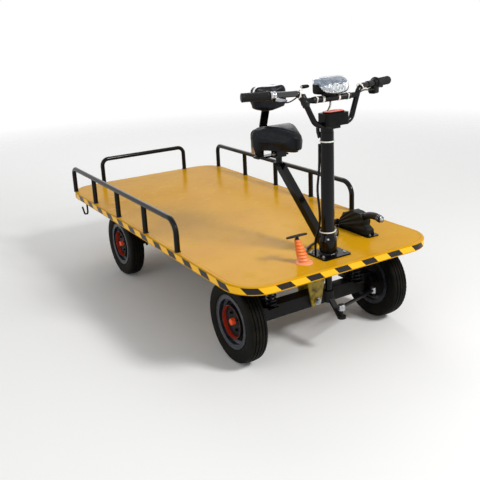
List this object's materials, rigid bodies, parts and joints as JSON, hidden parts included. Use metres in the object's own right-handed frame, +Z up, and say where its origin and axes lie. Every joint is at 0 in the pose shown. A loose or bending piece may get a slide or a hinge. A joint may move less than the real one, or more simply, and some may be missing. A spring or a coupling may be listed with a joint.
{
  "type": "electric four-wheel flatbed cart",
  "caption": "Low electric platform cart with a yellow deck, tubular guard rails, handlebar steering column, saddle on a strut, foot brake and steered front wheels.",
  "frame": {"origin": "on the ground under the centre of the deck", "axes": "+X forward, towards the handlebar; +Y to the vehicle's left; +Z up"},
  "size_m": [2, 1, 1.1459],
  "materials": {
    "deck_yellow": "glossy ochre yellow paint",
    "black_paint": "glossy black paint",
    "frame_black": "satin black paint",
    "yellow_paint": "yellow paint",
    "tyre_rubber": "matt black tyre rubber",
    "rim_grey": "dark blue-grey paint with an orange-red hub",
    "steel": "bare steel",
    "vinyl": "black vinyl cover",
    "black_plastic": "black moulded plastic",
    "black_rubber": "black rubber",
    "orange_rubber": "orange bellows rubber",
    "lens": "clear lens over a faceted reflector"
  },
  "bodies": {
    "chassis": {"deck_plate": "deck_yellow", "deck_skirt": "deck_yellow", "frame_rails": "frame_black", "cross_members": "frame_black", "guard_left": "black_paint", "guard_right": "black_paint", "guard_rear": "black_paint", "column_base": "black_paint", "column_tube": "black_paint", "seat_strut": "black_paint", "saddle_mount": "black_paint", "saddle_coils": "steel", "saddle": "vinyl", "backrest_pad": "vinyl", "front_axle": "frame_black", "axle_bracket": "yellow_paint", "front_springs": "steel", "rear_axle": "frame_black", "leaf_springs": "steel", "under_brackets": "frame_black", "motor": "frame_black", "battery_box": "black_plastic", "pedal_boot": "orange_rubber", "brake_pedal": "black_rubber", "handbrake_plate": "black_paint", "handbrake_gaiter": "black_rubber", "handbrake_lever": "black_plastic", "cables": "black_rubber"},
    "steering": {"steering_stem": "black_paint", "handlebar": "black_paint", "grips": "black_rubber", "bar_controls": "black_plastic", "headlight_shell": "black_plastic", "headlight_lens": "lens", "switch_box": "black_plastic", "drop_arm": "frame_black"},
    "drag_link_body": {"drag_link": "steel"},
    "tie_rod_body": {"tie_rod": "steel"},
    "knuckle_left_body": {"knuckle_left": "frame_black"},
    "knuckle_right_body": {"knuckle_right": "frame_black"},
    "wheel_front_left": {"tyre_front_left": "tyre_rubber", "rim_front_left": "rim_grey"},
    "wheel_front_right": {"tyre_front_right": "tyre_rubber", "rim_front_right": "rim_grey"},
    "wheel_rear_left": {"tyre_rear_left": "tyre_rubber", "rim_rear_left": "rim_grey"},
    "wheel_rear_right": {"tyre_rear_right": "tyre_rubber", "rim_rear_right": "rim_grey"}
  },
  "joints": [
    {"name": "steer", "type": "hinge", "parent": "chassis", "child": "steering", "pos_m": [0.865, 0, 0.93], "axis": [0, 0, 1], "range_deg": [-30, 30]},
    {"name": "knuckle_left_turn", "type": "hinge", "parent": "chassis", "child": "knuckle_left_body", "pos_m": [0.737, 0.29, 0.178], "axis": [0, 0, 1], "range_deg": [-30, 30]},
    {"name": "knuckle_right_turn", "type": "hinge", "parent": "chassis", "child": "knuckle_right_body", "pos_m": [0.737, -0.29, 0.178], "axis": [0, 0, 1], "range_deg": [-30, 30]},
    {"name": "drag_link_turn", "type": "hinge", "parent": "steering", "child": "drag_link_body", "pos_m": [0.95, 0, 0.208], "axis": [0, 0, 1], "range_deg": [-30, 30]},
    {"name": "tie_rod_turn", "type": "hinge", "parent": "knuckle_left_body", "child": "tie_rod_body", "pos_m": [0.647, 0.29, 0.168], "axis": [0, 0, 1], "range_deg": [-30, 30]},
    {"name": "wheel_front_left_spin", "type": "hinge", "parent": "knuckle_left_body", "child": "wheel_front_left", "pos_m": [0.737, 0.375, 0.178], "axis": [0, 1, 0], "continuous": true},
    {"name": "wheel_front_right_spin", "type": "hinge", "parent": "knuckle_right_body", "child": "wheel_front_right", "pos_m": [0.737, -0.375, 0.178], "axis": [0, 1, 0], "continuous": true},
    {"name": "wheel_rear_left_spin", "type": "hinge", "parent": "chassis", "child": "wheel_rear_left", "pos_m": [-0.5, 0.36, 0.178], "axis": [0, 1, 0], "continuous": true},
    {"name": "wheel_rear_right_spin", "type": "hinge", "parent": "chassis", "child": "wheel_rear_right", "pos_m": [-0.5, -0.36, 0.178], "axis": [0, 1, 0], "continuous": true}
  ],
  "couplings": [
    {"joint": "knuckle_left_turn", "follows": "steer", "ratio": 1},
    {"joint": "knuckle_right_turn", "follows": "steer", "ratio": 1},
    {"joint": "drag_link_turn", "follows": "steer", "ratio": -1},
    {"joint": "tie_rod_turn", "follows": "steer", "ratio": -1}
  ]
}
